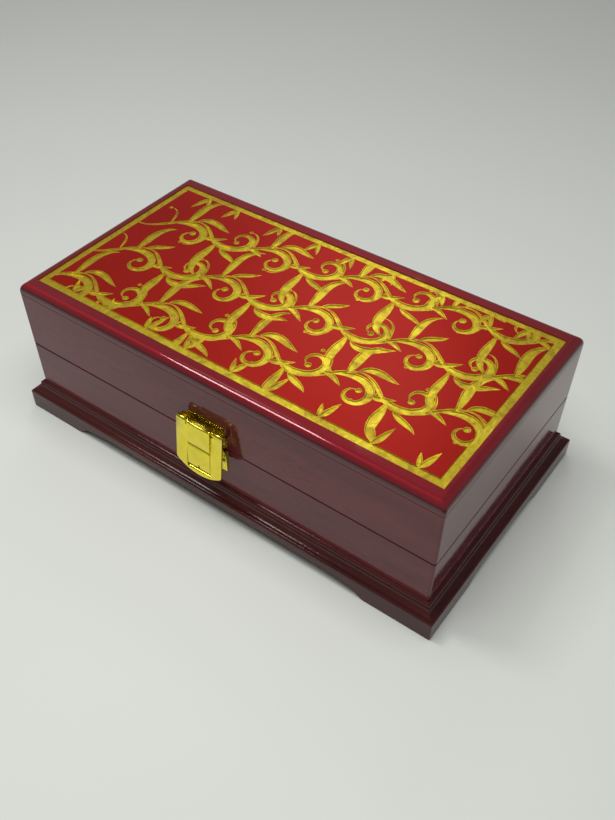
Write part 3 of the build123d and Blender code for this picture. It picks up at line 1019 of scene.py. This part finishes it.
def vine_strokes(rng, vine, half_x):
    """One wavy vine with its scrolls, fronds, curls, tendrils and leaves."""
    up = vine[1]
    waves = (2 * half_x + 2 * vine_start) / vine_wave
    count = int(waves * vine_steps)
    stem = []
    for i in range(count + 1):
        x, y, _, phase = vine_point(vine, waves * i / count, half_x)
        stem.append((x, y, stem_thin + stem_swell * abs(math.cos(phase)) ** stem_power))
    strokes = [stem]
    for k in range(2 * math.ceil(waves + 1)):
        t = k / 2.0 - vine[2]
        if not vine_early <= t <= waves:
            continue
        x, y, heading, phase = vine_point(vine, t, half_x)
        side = -1 if math.cos(phase) * up > 0 else 1
        scroll = grown(rng, x, y, heading, side, scroll_stroke)
        strokes.append(scroll)
        strokes.append(end_drop(scroll, near(rng, scroll_drop, scroll_drop_play)))
        for share, stroke in ((frond_share, frond_stroke), (curl_share, curl_stroke)):
            x1, y1, _ = scroll[int(len(scroll) * share)]
            strokes.append(grown(rng, x1, y1, heading, side, stroke))
        tendril = grown(rng, x, y, heading, side, tendril_stroke)
        strokes.append(tendril)
        strokes.append(end_drop(tendril, tendril_drop))
        x1, y1, heading, _ = vine_point(vine, t + leaf_lead, half_x)
        strokes.append(grown(rng, x1, y1, heading, side, leaf_strokes[k % 2]))
    return strokes


def sprig_strokes(rng, half_x, half_y):
    """Sprigs of two leaves that grow in from the long edges of the panel."""
    strokes = []
    for sign in (-1, 1):
        for i in range(sprigs):
            x = -half_x + sprig_first + sprig_space * i + rng.uniform(-sprig_play, sprig_play)
            y = sign * (half_y + sprig_outside)
            for lean, length, fat in sprig_leaves:
                heading = -sign * 90 + lean
                reach = near(rng, length, sprig_length_play)
                root = fat * sprig_root
                leaf = flourish(x, y, heading, reach, *sprig_bend, fat, sprig_belly, 1.0, root)
                strokes.append(leaf)
    return strokes


def vine_ornament(half_x, half_y):
    """Strokes of a generic arabesque: three wavy vines with scrolls, and sprigs at the edges."""
    rng = random.Random(ornament_seed)
    strokes = []
    for vine in vines:
        strokes += vine_strokes(rng, vine, half_x)
    return strokes + sprig_strokes(rng, half_x, half_y)


class Plan:
    """Points and triangles of the carving seen from above, for one triangulation."""

    def __init__(self):
        self.points = []
        self.faces = []

    def point(self, x, y):
        self.points.append(Vector((x, y)))
        return len(self.points) - 1

    def triangle(self, a, b, c):
        p, q, r = (self.points[i] for i in (a, b, c))
        area = (q - p).cross(r - p)
        if abs(area) > least_area:
            self.faces.append([a, b, c] if area > 0 else [a, c, b])

    def quad(self, a, b, c, d):
        self.triangle(a, b, c)
        self.triangle(a, c, d)

    def ring(self, x, y, radius):
        turns = (math.tau * i / drop_sides for i in range(drop_sides))
        return [self.point(x + radius * math.cos(a), y + radius * math.sin(a)) for a in turns]

    def add_drop(self, x, y, radius):
        insets = (0.0, carved_lip, carved_lip + carved_wall)
        rings = [self.ring(x, y, radius - inset) for inset in insets]
        middle = self.point(x, y)
        for i in range(drop_sides):
            j = (i + 1) % drop_sides
            for outer, inner in zip(rings, rings[1:]):
                self.quad(outer[i], outer[j], inner[j], inner[i])
            self.triangle(rings[-1][i], rings[-1][j], middle)

    def add_stroke(self, samples):
        rows = []
        for i, (x, y, half) in enumerate(samples):
            before = samples[max(0, i - 1)]
            after = samples[min(len(samples) - 1, i + 1)]
            way = Vector((after[0] - before[0], after[1] - before[1])).normalized()
            across = Vector((-way.y, way.x))
            lip = max(half - carved_lip, 0.0)
            floor = max(half - carved_lip - carved_wall, 0.0)
            lip = lip if lip > least_floor else 0.0
            floor = floor if floor > least_floor else 0.0
            offsets = (half, lip, floor, -floor, -lip, -half)
            made = {}
            for offset in offsets:
                if offset not in made:
                    made[offset] = self.point(x + across.x * offset, y + across.y * offset)
            rows.append([made[offset] for offset in offsets])
        for row, following in zip(rows, rows[1:]):
            for k in range(len(row) - 1):
                self.quad(row[k], following[k], following[k + 1], row[k + 1])

    def triangulated(self):
        """Points and triangles of the first face, cut along the edges of all the others."""
        result = geometry.delaunay_2d_cdt(self.points, [], self.faces, 0, plan_weld)
        points, faces, sources = result[0], result[2], result[5]
        return points, [face for face, source in zip(faces, sources) if 0 in source]


def distances_in(strokes, points):
    """How far inside the nearest stroke's edge each point of the plan lies, or 0 outside."""
    samples = [(number, i) for number, stroke in enumerate(strokes) for i in range(len(stroke))]
    tree = kdtree.KDTree(len(samples))
    for number, (stroke, i) in enumerate(samples):
        x, y, half = strokes[stroke][i]
        tree.insert((x, y, 0.0), number)
    tree.balance()
    reach = stroke_reach + max(half for stroke in strokes for x, y, half in stroke)
    found = []
    for point in points:
        deepest = 0.0
        for _, number, distance in tree.find_range((point.x, point.y, 0.0), reach):
            stroke, i = samples[number]
            x, y, half = strokes[stroke][i]
            deepest = max(deepest, half - distance)
            if i + 1 < len(strokes[stroke]):
                x1, y1, half1 = strokes[stroke][i + 1]
                run = Vector((x1 - x, y1 - y))
                t = (point - Vector((x, y))).dot(run) / run.length_squared
                if 0.0 < t < 1.0:
                    gap = (point - Vector((x, y)) - run * t).length
                    deepest = max(deepest, half + (half1 - half) * t - gap)
        found.append(deepest)
    return found


def ornament_plan(strokes, half_x, half_y):
    """The panel's outline and every stroke on it, as one flat triangulated sheet."""
    plan = Plan()
    outline = ((-half_x, -half_y), (half_x, -half_y), (half_x, half_y), (-half_x, half_y))
    plan.faces.append([plan.point(x, y) for x, y in outline])
    for stroke in strokes:
        if len(stroke) == 1:
            plan.add_drop(*stroke[0])
        else:
            plan.add_stroke(stroke)
    return plan.triangulated()


def close_below(shape, foot):
    """Walls from the rim of a carved sheet down to its foot, and the face under it."""
    rim = [edge for edge in shape.edges if edge.is_boundary]
    for part in bmesh.ops.extrude_edge_only(shape, edges=rim)["geom"]:
        if isinstance(part, bmesh.types.BMVert):
            part.co.z = foot
        if isinstance(part, bmesh.types.BMFace):
            part.material_index = 1
    bmesh.ops.contextual_create(shape, geom=[e for e in shape.edges if e.is_boundary])


def carved_panel(red, gold):
    """The lid panel: a red plate with the ornament carved into it and gilt."""
    low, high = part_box("inlay_panel")
    depth = high.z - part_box("inlay_border")[1].z
    half_x = high.x / MM
    half_y = high.y / MM
    strokes = vine_ornament(half_x, half_y)
    points, faces = ornament_plan(strokes, half_x, half_y)
    middles = [(points[a] + points[b] + points[c]) / 3 for a, b, c in faces]
    gilt_faces = [inside > gilt_from for inside in distances_in(strokes, middles)]
    flat = {corner for face, gilt in zip(faces, gilt_faces) if not gilt for corner in face}
    inside_of = distances_in(strokes, points)
    shape = bmesh.new()
    verts = {}
    for corner in (corner for face in faces for corner in face):
        if corner not in verts:
            share = min(1.0, max(0.0, inside_of[corner] - carved_lip) / carved_wall)
            sunk = 0.0 if corner in flat else share * depth
            place = points[corner] * MM
            verts[corner] = shape.verts.new((place.x, place.y, high.z - sunk))
    for face, gilt in zip(faces, gilt_faces):
        made = shape.faces.new([verts[corner] for corner in face])
        made.material_index = 1 if gilt else 0
        made.smooth = gilt
    close_below(shape, low.z)
    bmesh.ops.recalc_face_normals(shape, faces=shape.faces)
    for edge in shape.edges:
        if edge.calc_face_angle(0.0) > math.radians(carved_sharp_angle):
            edge.smooth = False
    add_piece("inlay_panel_carved", shape, "lid", "inlay_panel", "red_panel", red, gold)


# Stage


def aimed(name, data, place, target):
    """An object at a place that looks at a target."""
    obj = new_object(name, data)
    obj.location = place
    obj.rotation_mode = "QUATERNION"
    obj.rotation_quaternion = (Vector(target) - Vector(place)).to_track_quat("-Z", "Y")
    return obj


def make_camera():
    data = bpy.data.cameras.new("camera")
    data.sensor_width = camera_sensor
    data.lens = camera_lens
    data.shift_x, data.shift_y = camera_shift
    data.clip_start = camera_near
    bpy.context.scene.camera = aimed("camera", data, camera_place, camera_target)


def make_lamps():
    for name, place, target, width, height, watts, in_gloss in lamps:
        data = bpy.data.lights.new(name, "AREA")
        data.shape = "RECTANGLE"
        data.size = width
        data.size_y = height
        data.energy = watts
        data.color = lamp_colour
        aimed(name, data, place, target).visible_glossy = in_gloss


def make_world():
    world = bpy.data.worlds.new("room")
    world.use_nodes = True
    back = world.node_tree.nodes["Background"]
    back.inputs["Color"].default_value = (*world_colour, 1.0)
    back.inputs["Strength"].default_value = world_strength
    bpy.context.scene.world = world
    bpy.context.scene.view_settings.view_transform = "Standard"


def make_floor():
    r = floor_reach
    mesh = bpy.data.meshes.new("floor")
    mesh.from_pydata([(-r, -r, 0), (r, -r, 0), (r, r, 0), (-r, r, 0)], [], [(0, 1, 2, 3)])
    mesh.update()
    mesh.materials.append(floor_paint())
    new_object("floor", mesh)


make_camera()
make_lamps()
make_world()
make_floor()

# Wood: the grain runs along each board, and the short sides of the plinth shine less
for axis, pair, word, cover in (
    (0, ("front", "back"), "long", 1.0),
    (1, ("left", "right"), "short", 0.8),
):
    wall_paint = lacquer(
        "dark_lacquer_" + word,
        axis,
        wall_colours,
        marks=0.6,
        gloss=0.05,
        coat=1.43,
        ripple=0.002 * MM,
    )
    plinth_paint = lacquer(
        "plinth_lacquer_" + word,
        axis,
        plinth_colours,
        marks=0.6,
        gloss=0.09,
        coat=1.36,
        ripple=0.06 * MM,
        cover=cover,
    )
    for side in pair:
        wear(["base_wall_" + side, "lid_wall_" + side], wall_paint)
        wear(["plinth_" + side], plinth_paint)
floor_board = lacquer(
    "floor_board", 0, floor_board_colours, marks=0.4, gloss=0.3, coat=1.4, ripple=0.01 * MM
)
wear(["base_floor_panel"], floor_board)
wear(["lid_top_board"], crimson_lacquer())

# Lid panel and its border
gilding = gilt_paint()
wear(["inlay_border"], gilding)
carved_panel(red_panel(), gilding)

# Velvet inside
red_velvet = velvet()
for body in ("base", "lid"):
    for side in sides:
        velvet_board(body + "_lining_" + side, body, red_velvet)
velvet_pad("base_floor_pad", "base", 1.0, red_velvet)
velvet_pad("lid_pad", "lid", -1.0, red_velvet)

# Hinges
hinge_brass = brass(
    "hinge_brass", hinge_colour, dull=0.34, shine=0.2, brush_axis=0, brush_depth=0.004 * MM
)
wear([n for n in nodes if n.startswith("hinge")], hinge_brass)
for name in nodes:
    if name.endswith("_leaf"):
        bevel_edges(nodes[name], sheet_edge_angle)
hinge_screws("base", -1, hinge_brass)
hinge_screws("lid", 1, hinge_brass)

# Latch
latch_brass = brass(
    "gilt_brass", latch_colour, dull=0.2, shine=0.12, brush_axis=2, brush_depth=0.0008 * MM
)
wear([n for n in nodes if n.startswith("latch")], latch_brass)
for name in ("latch_body_plate", "latch_strike"):
    bevel_edges(nodes[name], sheet_edge_angle)
latch_nails("base", "latch_body_nails", latch_brass)
latch_nails("lid", "latch_strike_nails", latch_brass)
rolled_lever(latch_brass)
bent_hook(latch_brass)
